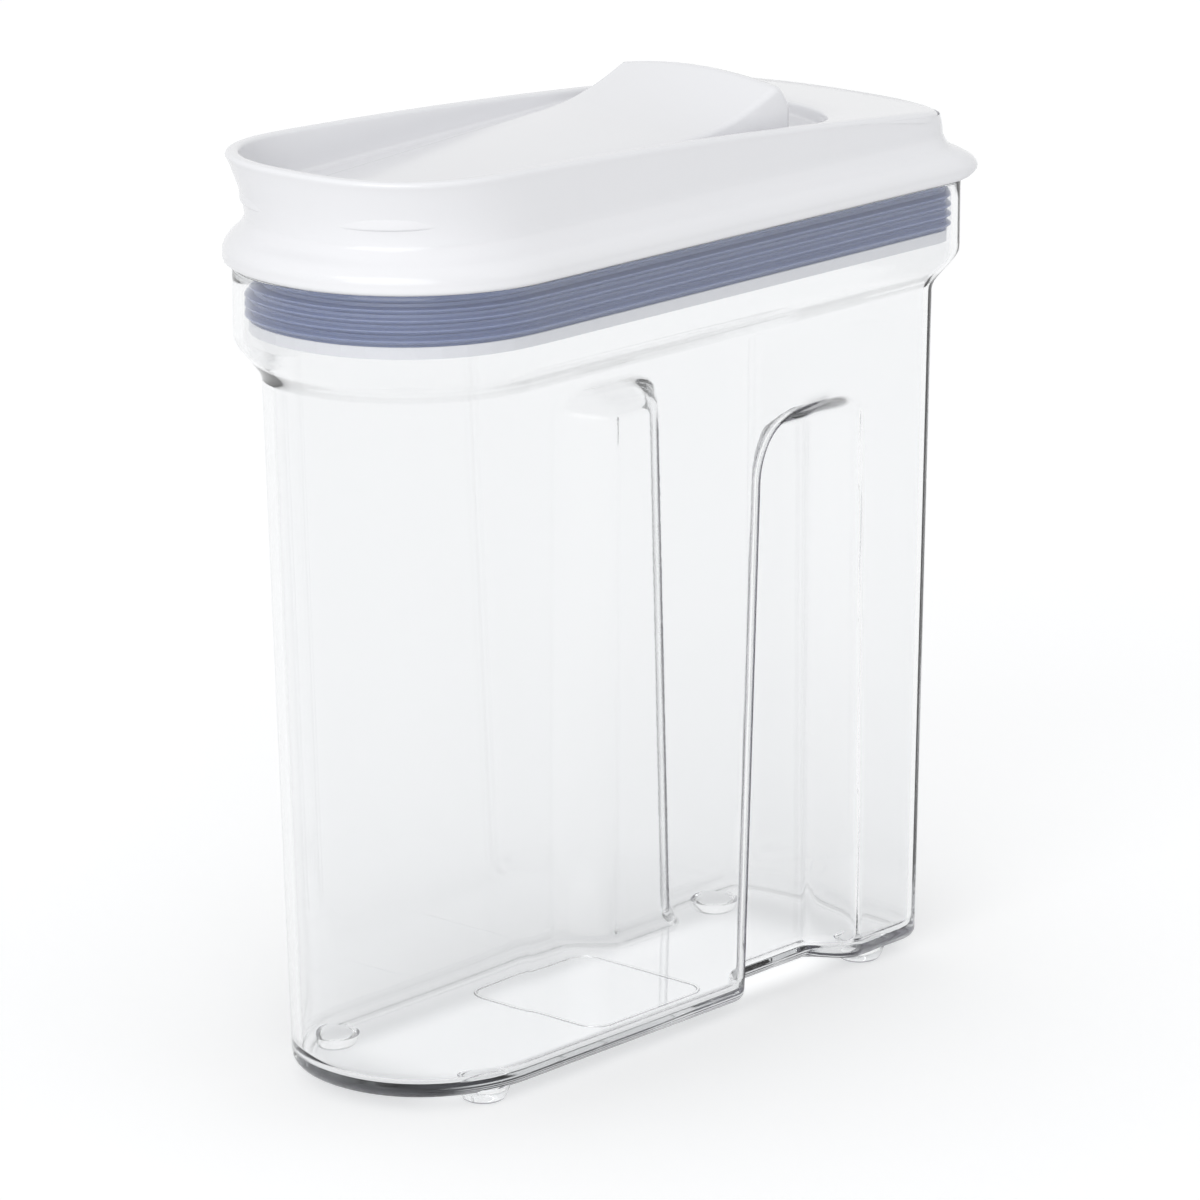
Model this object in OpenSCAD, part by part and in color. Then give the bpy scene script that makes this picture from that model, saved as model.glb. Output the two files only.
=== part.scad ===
// Cereal container with a flip spout: a clear jug, a white lid and a hinged spout door.
// The length runs along X with the spout at -X. The jug stands on its four feet at z = 0.

/* [View] */
// Sub-part to draw

/* [Jug] */
// Length of the jug at its base
jug_length = 159; // [145:1:170]
// Width of the jug at its base
jug_width = 55; // [51:1:57]
// Height of the jug's rim above the table
jug_height = 171; // [165:1:240]
// How far the front nose leans out between the base and the shoulder
lean_front = 5.0; // [0:0.1:6]
// How far the rear end leans out between the base and the shoulder
lean_rear = 1.2; // [0:0.1:4]
// How far each long side leans out between the base and the shoulder
lean_side = 1.9; // [0:0.1:2.5]
// Thickness of the jug's wall
jug_wall = 2.0; // [1.4:0.1:2.6]
// Thickness of the jug's floor
floor_thickness = 2.6; // [1.8:0.1:4]
// Radius of the edge round the base
base_edge = 2.8; // [1:0.1:3]
// Height of the straight band at the rim
rim_band = 14.5; // [13:0.5:20]
// Height of the shoulder under the rim band
shoulder_height = 9.5; // [6:0.5:14]
// How far the rim band stands out from the body
shoulder_step = 5.5; // [4.5:0.1:6]

/* [Grip recess] */
// Centre of the grip recess along the jug
grip_x = 35.5; // [30:0.5:38]
// Length of the grip recess at the base
grip_length = 38.6; // [34:0.2:43]
// Length of the grip recess at the top of its arch
grip_top_length = 33; // [28:0.5:38]
// Depth of the grip recess in each long side
grip_depth = 8.4; // [3:0.2:10]
// Height of the top of the arch above the table
grip_height = 130; // [90:0.5:138]
// Radius of the arch's corners
grip_corner = 12.5; // [8:0.5:16]
// Width of the slope between the side and the recess floor
grip_slope = 11; // [7:0.5:13]

/* [Feet] */
// Diameter of each moulded foot where it meets the base
foot_diameter = 10.8; // [8:0.2:12]
// Height of each foot under the base
foot_height = 2.6; // [1.4:0.1:4]
// Distance of the front feet from the front of the base
foot_front = 22; // [18:0.5:30]
// Distance of the rear feet from the rear of the base
foot_rear = 17; // [14:0.5:20]
// Distance between the two rows of feet
foot_spacing = 42.4; // [36:0.2:43]

/* [Lid] */
// Gap between the jug's rim and the lid
lid_gap = 0.35; // [0.3:0.05:1]
// How far the lid's flange stands out past the jug's rim
flange_overhang = 1.8; // [1:0.1:4]
// How far the lift lip at the rear stands out past the flange
lip_reach = 4.2; // [0:0.1:7]
// Depth of the waist round the lid
waist_depth = 4.9; // [3.6:0.1:5.2]
// How far the spout's lip flares out past the waist
lip_flare = 2.4; // [0:0.1:3.5]
// Height of the waist above the lid's lower edge
waist_height = 9; // [7:0.5:10.5]
// Height of the lid's top at its middle, above its lower edge
lid_height = 19.7; // [17.5:0.1:24]
// Fall of the lid's top for each millimetre towards the rear
top_fall = 0.053; // [0.02:0.002:0.07]
// How much the lid's top curves down towards the rear
top_curve = 0.00026; // [0:0.00001:0.0003]
// Thickness of the lid's walls
lid_wall = 2.0; // [1.6:0.1:2.4]
// Thickness of the rim at the top of the spout collar
collar_rim = 2.5; // [2:0.1:3]
// Height of the ledge inside the collar at its middle, above the lid's lower edge
ledge_height = 14.9; // [13.6:0.1:15.2]
// Rise of the ledge for each millimetre towards the rear
ledge_rise = 0.036; // [0.02:0.002:0.04]
// Position of the rear end of the collar's well along the lid
well_end = 56; // [50:0.5:58]
// Depth of the finger well behind the door, below the ledge
well_depth = 3.7; // [2.8:0.1:3.9]

/* [Door] */
// Width of the flip door
door_width = 43; // [38:0.5:46]
// Distance from the door's tip to the collar's inner wall
door_tip_gap = 8.5; // [6:0.5:14]
// Position of the foot of the door's rear face along the lid
door_rear = 40; // [39.5:0.1:41]
// Position of the door's crest along the lid
crest_x = 34; // [32:0.5:36]
// How far the door's edge lies above the ledge at its tip
door_tip_rise = 0.4; // [0.3:0.1:1.5]
// Rise of the shallow ramp from the tip to the foot of the crest
door_ramp_rise = 2.0; // [1.2:0.1:4]
// Position along the lid where the ramp turns up to the crest
rise_start = 6; // [0:0.5:12]
// Rise of the crest above the ramp
crest_rise = 6.2; // [3:0.1:6.6]
// Crown of the door's crest across its width
door_crown = 1.8; // [0.6:0.1:2.4]
// Radius of the door's upper edge beside the crest
door_edge_radius = 1.7; // [0.9:0.1:2]
// Thickness of the door's walls
door_wall = 1.6; // [1.2:0.1:1.8]
// Gap round the door
door_gap = 0.4; // [0.35:0.05:0.8]

/* [Spout] */
// Width of the spout opening under the door
spout_width = 31; // [24:0.5:34]
// Length of the spout opening
spout_length = 82; // [60:1:86]
// Height of the raised rim round the spout opening
spout_rim = 1.4; // [0.8:0.1:1.6]
// Thickness of the spout seal
seal_thickness = 0.9; // [0.6:0.1:1]
// Thickness of the plate under the door
liner_thickness = 1.0; // [0.8:0.1:1.1]

/* [Plug and gasket] */
// Thickness of the plug's wall and plate
plug_wall = 1.8; // [1.4:0.1:2.4]
// Depth of the plug below the jug's rim
plug_depth = 13.1; // [12.9:0.1:14.6]
// Height of the plug's lip under the gasket
plug_lip = 2.4; // [2:0.1:2.8]
// Height of the gasket
gasket_height = 10.2; // [8:0.1:10.4]
// Radial thickness of the gasket out to the tips of its fins
gasket_thickness = 2.7; // [2:0.1:3]
// Number of fins on the gasket
gasket_fins = 5; // [3:1:6]

/* [Hinge] */
// Diameter of each hinge pin
pin_diameter = 2.4; // [2:0.1:2.8]
// Length of each hinge pin
pin_length = 6.6; // [5.6:0.1:7.2]
// Gap all round the pin in the door's bores
pin_clearance = 0.05; // [0.03:0.01:0.1]
// Height of the hinge axis above the lid's lower edge
hinge_height = 16; // [15.6:0.1:16.4]
// Distance of the hinge axis from the foot of the door's rear face
hinge_inset = 5.8; // [5.4:0.1:6.4]
// Thickness of each hinge arm
arm_thickness = 3.2; // [2.6:0.1:4]
// Outer radius of the arm's eye and of the door's bosses
eye_radius = 2.5; // [2.2:0.1:2.7]

/* [Hidden] */
$fn = 48;
clear_plastic = [0.86, 0.9, 0.93, 0.35];
white_plastic = [0.9, 0.9, 0.92];
inner_plastic = [0.82, 0.82, 0.86];
blue_silicone = [0.48, 0.53, 0.66];

// Outline of a long body: a rounded front, straight sides and a blunter rear.
// p = [front x, rear x, half width, front semi-axis, rear semi-axis, front roundness, rear roundness].
function outset(p, d) = [p[0] - d, p[1] + d, p[2] + d, p[3] + d, p[4] + d, p[5], p[6]];
function bend(n, s) = pow(max(s, 0), 2 / n);
function near_side(p, xs, f, g) = concat(
    [for (i = [0:f]) let (t = 90 * i / f) [p[0] + p[3] - p[3] * bend(p[5], cos(t)), -p[2] * bend(p[5], sin(t))]],
    [for (x = xs) [x, -p[2]]],
    [for (i = [g:-1:0]) let (t = 90 * i / g) [p[1] - p[4] + p[4] * bend(p[6], cos(t)), -p[2] * bend(p[6], sin(t))]]);
function far_side(h) = [for (i = [len(h) - 2:-1:1]) [h[i][0], -h[i][1]]];
function outline(p, xs, f, g) = let (h = near_side(p, xs, f, g)) concat(h, far_side(h));
function mix(a, b, t) = a + (b - a) * t;
function smooth(t) = let (u = min(1, max(0, t))) u * u * (3 - 2 * u);

// A solid whose surface runs through rings of equal length. A tube's last ring meets its first.
module skin(rings, tube = false) {
    n = len(rings[0]);
    m = len(rings);
    pts = [for (r = rings) each r];
    side = [for (k = [0:(tube ? m - 1 : m - 2)]) for (i = [0:n - 1])
        let (a = k * n + i, b = k * n + (i + 1) % n, k2 = (k + 1) % m, c = k2 * n + (i + 1) % n, d = k2 * n + i)
        each [[a, c, b], [a, d, c]]];
    caps = tube ? [] : [[for (i = [0:n - 1]) i], [for (i = [n - 1:-1:0]) (m - 1) * n + i]];
    polyhedron(points = pts, faces = concat(side, caps), convexity = 10);
}

// Everything is drawn about the jug's base and then moved so that the overall length is centred.
module centred() translate([-(lip(flange_plan, 1)[1] + flange_plan[0]) / 2, 0, 0]) children();

// ---- Jug ----
floor_z = foot_height + floor_thickness;
band_z = jug_height - rim_band;
neck_z = band_z - shoulder_height;
base_plan = [-jug_length / 2 + 0.7, jug_length / 2 + 0.7, jug_width / 2, 30, 8, 2.1, 2.8];
neck_plan = base_plan + [-lean_front, lean_rear, lean_side, 1, 1, 0, 0];
rim_plan = outset(neck_plan, shoulder_step) + [0, 0.6, 0, 0, 0, 0, -0.2];
function body_plan(z) = z < neck_z ? mix(base_plan, neck_plan, (z - foot_height) / (neck_z - foot_height))
    : mix(neck_plan, rim_plan, smooth((z - neck_z) / shoulder_height));

// How deep the grip recess is at a place on the long side.
function grip_half(z) = let (low = mix(grip_length, grip_top_length, z / grip_height) / 2,
        over = max(0, z - (grip_height - grip_corner)))
    low - grip_corner + sqrt(max(0, grip_corner * grip_corner - over * over));
function grip(x, z) = z >= grip_height ? 0
    : grip_depth * smooth((grip_half(z) - abs(x - grip_x)) / grip_slope) * smooth((grip_height - z) / (grip_slope * 0.6));
grip_steps = [0, 0.16, 0.3, 0.44, 0.58, 0.72, 0.87, 1];
jug_stations = concat([-34, -14], [for (s = grip_steps) grip_x - grip_length / 2 + s * (grip_length / 2 - 1)],
    [for (i = [len(grip_steps) - 1:-1:0]) grip_x + grip_length / 2 - grip_steps[i] * (grip_length / 2 - 1)]);
function jug_ring(z, inset) = let (p = outset(body_plan(z), -inset))
    [for (q = outline(p, jug_stations, 9, 6)) [q[0], q[1] - sign(q[1]) * (abs(q[1]) > p[2] - 0.01 ? grip(q[0], z) : 0), z]];
arch_z = [for (s = [26, 18, 13, 9.5, 7, 4.5, 2.5, 0]) grip_height - s];
body_z = concat([mix(floor_z, grip_height, 0.2), mix(floor_z, grip_height, 0.5)], arch_z, [neck_z, for (s = [0.25, 0.5, 0.75, 1]) neck_z + s * shoulder_height]);

module foot() rotate_extrude() polygon([[0, 0], [foot_diameter / 2 - 1.7, 0], [foot_diameter / 2 - 0.8, 0.5],
    [foot_diameter / 2, foot_height], [foot_diameter / 2, foot_height + 0.9], [0, foot_height + 0.9]]);

module jug() color(clear_plastic) {
    outer = concat(
        [for (a = [0, 30, 60, 90]) jug_ring(foot_height + base_edge * (1 - cos(a)), base_edge * (1 - sin(a)))],
        [for (z = body_z) jug_ring(z, 0)],
        [jug_ring(jug_height - 0.5, 0), jug_ring(jug_height, 0.4)]);
    inner = concat(
        [jug_ring(jug_height, jug_wall - 0.4), jug_ring(jug_height - 0.5, jug_wall)],
        [for (i = [len(body_z) - 1:-1:0]) jug_ring(body_z[i], jug_wall)],
        [for (a = [0, 30, 60, 90]) jug_ring(floor_z + base_edge * (1 - sin(a)), jug_wall + base_edge * (1 - cos(a)))]);
    union() {
        skin([for (r = concat(outer, inner)) r]);
        for (x = [base_plan[0] + foot_front, base_plan[1] - foot_rear], y = [-1, 1])
            translate([x, y * foot_spacing / 2, 0]) foot();
    }
}

// ---- Lid ----
lid_z = jug_height + lid_gap;
flange_plan = outset(rim_plan, flange_overhang) - [0, 0, 0, 0, 0, 0, 0.2];
waist_plan = outset(flange_plan, -waist_depth) + [0, 2.4, 0, 1, 4, 0.15, -0.2];
top_plan = waist_plan + [-lip_flare, -0.6, 0.3, -2, 2, 0.35, 0];
function lid_outline(p) = outline(p, [for (i = [1:4]) mix(p[0] + p[3], p[1] - p[4], i / 5)], 10, 8);
function level(p, z) = [for (q = lid_outline(p)) [q[0], q[1], z]];
function top_z(x) = lid_z + lid_height - top_fall * x - top_curve * x * x;
function ledge_z(x) = lid_z + ledge_height + ledge_rise * x;
function well_z(x) = min(ledge_z(x) - well_depth * smooth((x - crest_x + 6) / 8), top_z(x) - 1.8);
function lip(p, share) = p + [0, lip_reach * share, 0, 0, lip_reach * share * 0.4, 0, 0];
waist_z = lid_z + waist_height;
// A ring part of the way from the waist up to the top, and one a little below or at the top.
function rising(share, flare) = [for (q = lid_outline(mix(waist_plan, top_plan, flare))) [q[0], q[1], mix(waist_z, top_z(q[0]), share)]];
function on_top(p, drop) = [for (q = lid_outline(p)) [q[0], q[1], top_z(q[0]) - drop]];
// The quarter round of the top's outer edge, which is larger round the rear deck.
function top_edge(a) = let (p = lid_outline(top_plan), q = lid_outline(outset(top_plan, -2)))
    [for (i = [0:len(p) - 1]) let (r = mix(0.9, 2, smooth((p[i][0] - well_end + 10) / 24)), m = mix(p[i], q[i], r * (1 - sin(a)) / 2))
        [m[0], m[1], top_z(m[0]) - r * (1 - cos(a))]];
function on_ledge(p, up) = [for (q = lid_outline(p)) [q[0], q[1], well_z(q[0]) + up]];
collar_plan = let (p = outset(top_plan, -collar_rim)) [p[0], well_end, p[2], p[3], 22, p[5], 1.9];
door_plan = [collar_plan[0] + door_tip_gap, door_rear, door_width / 2, 24, 3.6, 2.1, 2.4];
hole_plan = outset(door_plan, door_gap);

module lid_cover() color(white_plastic) {
    skin(concat(
        [level(outset(flange_plan, -0.5), lid_z), level(lip(flange_plan, 0.4), lid_z + 0.5), level(lip(flange_plan, 1), lid_z + 1.6),
         level(lip(flange_plan, 0.95), lid_z + 2.6), level(lip(outset(flange_plan, -0.5), 0.75), lid_z + 3.8),
         level(lip(outset(flange_plan, -1.5), 0.35), lid_z + 5.1), level(outset(waist_plan, 1.5), lid_z + 6.4),
         level(outset(waist_plan, 0.5), waist_z - 1.2), level(waist_plan, waist_z),
         rising(0.3, 0.15), rising(0.6, 0.5), rising(0.85, 0.85)],
        [for (a = [90, 60, 30, 0]) top_edge(a)], [
         on_top(outset(collar_plan, 0.8), 0), on_top(outset(collar_plan, 0.2), 0.25), on_top(collar_plan, 0.8),
         on_ledge(collar_plan, 0.7), on_ledge(outset(collar_plan, -0.7), 0), on_ledge(hole_plan, 0), on_ledge(hole_plan, -lid_wall),
         on_ledge(outset(waist_plan, -lid_wall), -lid_wall), level(outset(waist_plan, -lid_wall), waist_z - 0.5),
         level(outset(waist_plan, 1.5 - lid_wall), lid_z + 5.4), level(outset(flange_plan, -lid_wall), lid_z + 3.4),
         level(outset(flange_plan, -lid_wall), lid_z)]), tube = true);
}

// ---- Plug and spout ----
mouth_plan = outset(rim_plan, -jug_wall);
plate_z = lid_z + 7;
seat_z = plate_z + spout_rim;
spout_plan = [door_plan[0] + 5.5, door_plan[0] + 5.5 + spout_length, spout_width / 2, 18, 9, 2.1, 2.4];
gasket_seat = gasket_thickness + 0.3;
plug_foot = jug_height - plug_depth;
hinge_x = door_rear - hinge_inset;
hinge_z = lid_z + hinge_height;
arm_y = 14.6;

module hinge_arm(side) translate([0, side * arm_y, 0]) rotate([90, 0, 0]) translate([0, 0, -arm_thickness / 2])
    difference() {
        union() {
            linear_extrude(arm_thickness) polygon([
                [hinge_x - 14, plate_z - 0.4], [hinge_x - 8, plate_z - 0.4], [hinge_x - 8, hinge_z - eye_radius - 1.2],
                [hinge_x - 6.4, hinge_z - eye_radius], [hinge_x, hinge_z - eye_radius], [hinge_x, hinge_z + eye_radius],
                [hinge_x - 9, hinge_z + eye_radius], [hinge_x - 12.5, hinge_z - 1]]);
            translate([hinge_x, hinge_z, 0]) cylinder(r = eye_radius, h = arm_thickness);
        }
        translate([hinge_x, hinge_z, -1]) cylinder(d = pin_diameter, h = arm_thickness + 2);
    }

module lid_plug() color(inner_plastic) union() {
    skin([level(outset(mouth_plan, -1.1), plug_foot), level(outset(mouth_plan, -1.1), plug_foot + plug_lip),
          level(outset(mouth_plan, -gasket_seat), plug_foot + plug_lip), level(outset(mouth_plan, -gasket_seat), lid_z),
          level(outset(flange_plan, -lid_wall - 0.12), lid_z), level(outset(flange_plan, -lid_wall - 0.12), lid_z + 1.6),
          level(outset(mouth_plan, -gasket_seat), lid_z + 1.6), level(outset(mouth_plan, -gasket_seat), plate_z),
          level(outset(spout_plan, plug_wall), plate_z), level(outset(spout_plan, plug_wall), seat_z),
          level(spout_plan, seat_z), level(spout_plan, plate_z - plug_wall - 3),
          level(outset(spout_plan, plug_wall), plate_z - plug_wall - 3), level(outset(spout_plan, plug_wall), plate_z - plug_wall),
          level(outset(mouth_plan, -gasket_seat - plug_wall), plate_z - plug_wall),
          level(outset(mouth_plan, -gasket_seat - plug_wall), plug_foot)], tube = true);
    hinge_arm(-1);
    hinge_arm(1);
}

module rim_gasket() color(blue_silicone) {
    z0 = plug_foot + plug_lip;
    pitch = gasket_height / gasket_fins;
    fins = [for (i = [0:gasket_fins - 1]) each [[1.1, (i + 0.12) * pitch], [0, (i + 0.55) * pitch], [0.05, (i + 0.72) * pitch], [1.1, (i + 0.92) * pitch]]];
    section = concat([[gasket_thickness, 0]], fins, [[gasket_thickness, gasket_height]]);
    skin([for (s = section) level(outset(mouth_plan, -0.3 - s[0]), z0 + s[1])], tube = true);
}

// ---- Flip door ----
// How far along the turned-up part of the door a place is, from 0 to 1 at the crest.
function rise_share(x) = min(1, max(0, (x - rise_start) / (crest_x - rise_start)));
function crease_z(x) = ledge_z(min(x, crest_x)) + door_tip_rise
    + door_ramp_rise * min(1, max(0, (x - door_plan[0]) / (rise_start - door_plan[0])))
    + crest_rise * pow(rise_share(x), 2)
    - (x > crest_x ? (door_tip_rise + door_ramp_rise + crest_rise + 0.2) * pow((x - crest_x) / (door_rear - crest_x), 1.25) : 0);
function door_bottom(x) = plate_z + 0.9 + 4.4 * smooth((x - hinge_x + 16) / 6);
door_stations = [for (s = [0.303, 0.439, 0.558, 0.66, 0.711, 0.762, 0.813, 0.864, 0.907, 0.936, 0.952, 0.966])
    mix(door_plan[0], door_plan[1], s)];
// The door's outline at an inset, drawn in a little at its ends where a ring runs nearer the middle.
function door_outline(d, more) = let (p = outset(door_plan, -d))
    outline([p[0] + more * 6, p[1] - more * 0.9, p[2], p[3] - more * 6, p[4] - more * 0.9, p[5], p[6]], door_stations, 8, 4);
function door_top(q, across) = crease_z(q[0])
    + door_crown * mix(0.5, 1, rise_share(q[0])) * (1 - across * across) * min(1, abs(q[1]) / (door_width / 2));
// d is the inset from the door's outline, across the share of the half width kept, drop the depth below the top.
function door_ring(d, across, drop) = [for (q = door_outline(d, 1 - across)) [q[0], q[1] * across, door_top(q, across) - drop]];
function door_edge(d) = [for (q = door_outline(d, 0)) [q[0], q[1], door_bottom(q[0])]];
// A ring at an angle of the quarter round between the door's side, at 90 degrees, and its top.
function door_round(a, across) = let (p = door_outline(0, 1 - across), q = door_outline(2, 1 - across))
    [for (i = [0:len(p) - 1]) let (r = mix(0.9, door_edge_radius, rise_share(p[i][0])), m = mix(p[i], q[i], r * (1 - sin(a)) / 2))
        [m[0], m[1] * across, door_top(m, across) - r * (1 - cos(a))]];
// Closes a pair of facing long rings with strips from side to side.
module shell(rings) {
    n = len(rings[0]);
    m = len(rings);
    pts = [for (r = rings) each r];
    side = [for (k = [0:m - 2]) for (i = [0:n - 1])
        let (a = k * n + i, b = k * n + (i + 1) % n, c = (k + 1) * n + (i + 1) % n, d = (k + 1) * n + i)
        each [[a, c, b], [a, d, c]]];
    e = (m - 1) * n;
    strip = [for (i = [1:n / 2 - 2]) each [[i, i + 1, n - i - 1], [i, n - i - 1, n - i]]];
    ends = [[0, 1, n - 1], [n / 2 - 1, n / 2, n / 2 + 1]];
    caps = concat(strip, ends);
    polyhedron(points = pts, faces = concat(side, caps, [for (f = caps) [f[2] + e, f[1] + e, f[0] + e]]), convexity = 10);
}

module flip_door() color(white_plastic) difference() {
    union() {
        shell([door_ring(door_wall, 0.04, door_wall), door_ring(door_wall, 0.5, door_wall), door_ring(door_wall, 1, door_wall),
               door_edge(door_wall), door_edge(0), door_round(90, 1), door_round(60, 1), door_round(30, 1),
               door_round(0, 1), door_round(0, 0.75), door_round(0, 0.5), door_round(0, 0.25), door_round(0, 0.04)]);
        for (side = [-1, 1]) translate([hinge_x, 0, hinge_z]) rotate([90, 0, 0])
            translate([0, 0, side > 0 ? -door_width / 2 + 0.6 : arm_y + arm_thickness / 2 + 0.25])
                cylinder(r = eye_radius, h = door_width / 2 - 0.6 - arm_y - arm_thickness / 2 - 0.25);
    }
    for (side = [-1, 1]) translate([hinge_x, 0, hinge_z]) rotate([90, 0, 0])
        translate([0, 0, side > 0 ? -arm_y + arm_thickness / 2 - pin_length - 0.2 : arm_y - arm_thickness / 2 - 0.2])
            cylinder(d = pin_diameter + 2 * pin_clearance, h = pin_length + 0.4);
}

module door_liner() color(inner_plastic) {
    z = seat_z + lid_gap + seal_thickness;
    p = outset(door_plan, -door_wall - 0.1);
    translate([0, 0, z]) linear_extrude(liner_thickness) polygon(outline([p[0], hinge_x - 17, p[2], p[3], 3, p[5], p[6]], [-40, -20, 0], 10, 6));
}

module spout_seal() color(blue_silicone) {
    translate([0, 0, seat_z + lid_gap]) linear_extrude(seal_thickness) difference() {
        polygon(outline(outset(spout_plan, plug_wall + 0.8), [-40, -20], 10, 8));
        polygon(outline(outset(spout_plan, -0.6), [-40, -20], 10, 8));
    }
}

module hinge_pin(side) translate([hinge_x, side * (arm_y - arm_thickness / 2), hinge_z])
    rotate([side > 0 ? -90 : 90, 0, 0]) cylinder(d = pin_diameter, h = pin_length);
module hinge_pin_near() color(inner_plastic) hinge_pin(-1);
module hinge_pin_far() color(inner_plastic) hinge_pin(1);

centred() jug();
centred() lid_cover();
centred() lid_plug();
centred() rim_gasket();
centred() flip_door();
centred() door_liner();
centred() spout_seal();
centred() hinge_pin_near();
centred() hinge_pin_far();
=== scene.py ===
import math
import bpy
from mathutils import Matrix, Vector


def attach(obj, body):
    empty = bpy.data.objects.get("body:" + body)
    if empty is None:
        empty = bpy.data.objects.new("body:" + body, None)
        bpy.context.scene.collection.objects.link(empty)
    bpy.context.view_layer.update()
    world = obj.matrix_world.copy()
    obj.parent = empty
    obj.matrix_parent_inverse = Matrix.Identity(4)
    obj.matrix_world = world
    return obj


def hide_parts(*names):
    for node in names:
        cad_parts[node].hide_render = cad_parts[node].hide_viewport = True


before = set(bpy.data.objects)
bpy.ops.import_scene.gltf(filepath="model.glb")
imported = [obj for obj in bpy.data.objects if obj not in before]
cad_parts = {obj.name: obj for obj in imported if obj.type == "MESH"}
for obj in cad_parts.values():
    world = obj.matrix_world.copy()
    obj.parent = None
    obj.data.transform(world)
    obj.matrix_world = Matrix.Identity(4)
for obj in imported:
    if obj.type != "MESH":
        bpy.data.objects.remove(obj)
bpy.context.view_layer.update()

# ---------------------------------------------------------------------------
# Camera. A long lens a little above the spout's front corner, as a studio
# takes a tall container: 195 mm on a 36 mm sensor, level and without shift.
# ---------------------------------------------------------------------------
turn, rise, distance = math.radians(-48.4), math.radians(15.4), 1.35
toward = Vector((math.sin(turn) * math.cos(rise), -math.cos(turn) * math.cos(rise), math.sin(rise)))
across = Vector((math.cos(turn), math.sin(turn), 0))
lens_up = toward.cross(across)
aim = Vector((0.00285, 0, 0.105)) + across * -0.0009 + lens_up * -0.0159
camera_data = bpy.data.cameras.new("camera")
camera_data.sensor_width = 36
camera_data.lens = 195
camera_data.clip_start = 0.01
camera = bpy.data.objects.new("camera", camera_data)
camera.location = aim + toward * distance
camera.rotation_euler = toward.to_track_quat("Z", "Y").to_euler()
bpy.context.scene.collection.objects.link(camera)
bpy.context.scene.camera = camera

# ---------------------------------------------------------------------------
# Jug: one clear moulding. Its plan is long with a round nose at the spout end
# and a flat rear, the walls lean out to a wider rim band, and each long side
# has an arched recess for the hand. Sizes are in millimetres, then metres.
# ---------------------------------------------------------------------------
MM = 0.001
shift = -1.2
jug_height, rim_band, shoulder_height = 171.0, 14.5, 9.5
foot_height, floor_thickness, jug_wall, base_edge = 2.6, 2.6, 2.0, 2.8
neck_z = jug_height - rim_band - shoulder_height
floor_z = foot_height + floor_thickness
# A plan is front, rear, half width, nose length, tail length, nose power and tail power.
base_plan = (-78.8, 80.2, 27.5, 30, 8, 2.1, 2.8)
neck_plan = (-83.8, 81.4, 29.4, 31, 9, 2.1, 2.8)
rim_plan = (-89.3, 87.5, 34.9, 36.5, 14.5, 2.1, 2.6)
grip_x, grip_length, grip_top_length, grip_depth, grip_height, grip_slope = 35.5, 38.6, 33.0, 8.4, 130.0, 11.0
# A side's recess: its front and rear corners, along and down, its rear end's move, its top and its rear slope.
near_grip = ((15.0, 15.0), (7.5, 6.5), 1.5, grip_height, 8.0)
far_grip = ((7.0, 6.0), (6.5, 5.0), -1.3, grip_height - 3.5, grip_slope)


def bend(n, s):
    return max(s, 0.0) ** (2.0 / n)


def mix(a, b, t):
    return a + (b - a) * t


def smooth(t):
    t = min(1.0, max(0.0, t))
    return t * t * (3 - 2 * t)


def blend_plans(p, q, t):
    return tuple(mix(a, b, t) for a, b in zip(p, q))


def grown(p, d):
    """A plan with every side moved out by d."""
    return (p[0] - d, p[1] + d, p[2] + d, p[3] + d, p[4] + d, p[5], p[6])


def outline(p, xs, nose_steps, tail_steps):
    """The plan's points: near side from the nose to the rear, with stations at xs, then back along the far side."""
    def quarter(steps, power):
        turns = [math.radians(90.0 * i / steps) for i in range(steps + 1)]
        return [(bend(power, math.cos(t)), bend(power, math.sin(t))) for t in turns]
    near = [(p[0] + p[3] - p[3] * c, -p[2] * s) for c, s in quarter(nose_steps, p[5])]
    near += [(x, -p[2]) for x in xs]
    near += [(p[1] - p[4] + p[4] * c, -p[2] * s) for c, s in reversed(quarter(tail_steps, p[6]))]
    return near + [(x, -y) for x, y in near[-2:0:-1]]


def even(p, count):
    """Stations that share out the straight part of a plan."""
    return [mix(p[0] + p[3], p[1] - p[4], (i + 1) / (count + 1)) for i in range(count)]


def new_piece(name, vertices, faces, material):
    mesh = bpy.data.meshes.new(name)
    mesh.from_pydata([(x * MM, y * MM, z * MM) for x, y, z in vertices], [], faces)
    piece = bpy.data.objects.new(name, mesh)
    bpy.context.scene.collection.objects.link(piece)
    mesh.materials.append(material)
    return piece


def finish_piece(piece, body, sharp=35.0):
    mesh = piece.data
    mesh.validate()
    for face in mesh.polygons:
        face.use_smooth = True
    mesh.set_sharp_from_angle(angle=math.radians(sharp))
    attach(piece, body)


def skin(rings, tube=False):
    """Quads through rings of equal length. A tube's last ring meets its first, and otherwise both ends are closed."""
    n, m = len(rings[0]), len(rings)
    vertices = [v for r in rings for v in r]
    faces = []
    for k in range(m if tube else m - 1):
        after = (k + 1) % m
        for i in range(n):
            j = (i + 1) % n
            faces.append((k * n + i, k * n + j, after * n + j, after * n + i))
    if not tube:
        faces.append(tuple(range(n - 1, -1, -1)))
        faces.append(tuple((m - 1) * n + i for i in range(n)))
    return vertices, faces


def operate(tree, operation, first, second=0.0, clamp=False):
    """A Math node on two values, each a socket or a number."""
    node = tree.nodes.new("ShaderNodeMath")
    node.operation, node.use_clamp = operation, clamp
    for socket, value in zip(node.inputs, (first, second)):
        if isinstance(value, float):
            socket.default_value = value
        else:
            tree.links.new(value, socket)
    return node.outputs[0]


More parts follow.
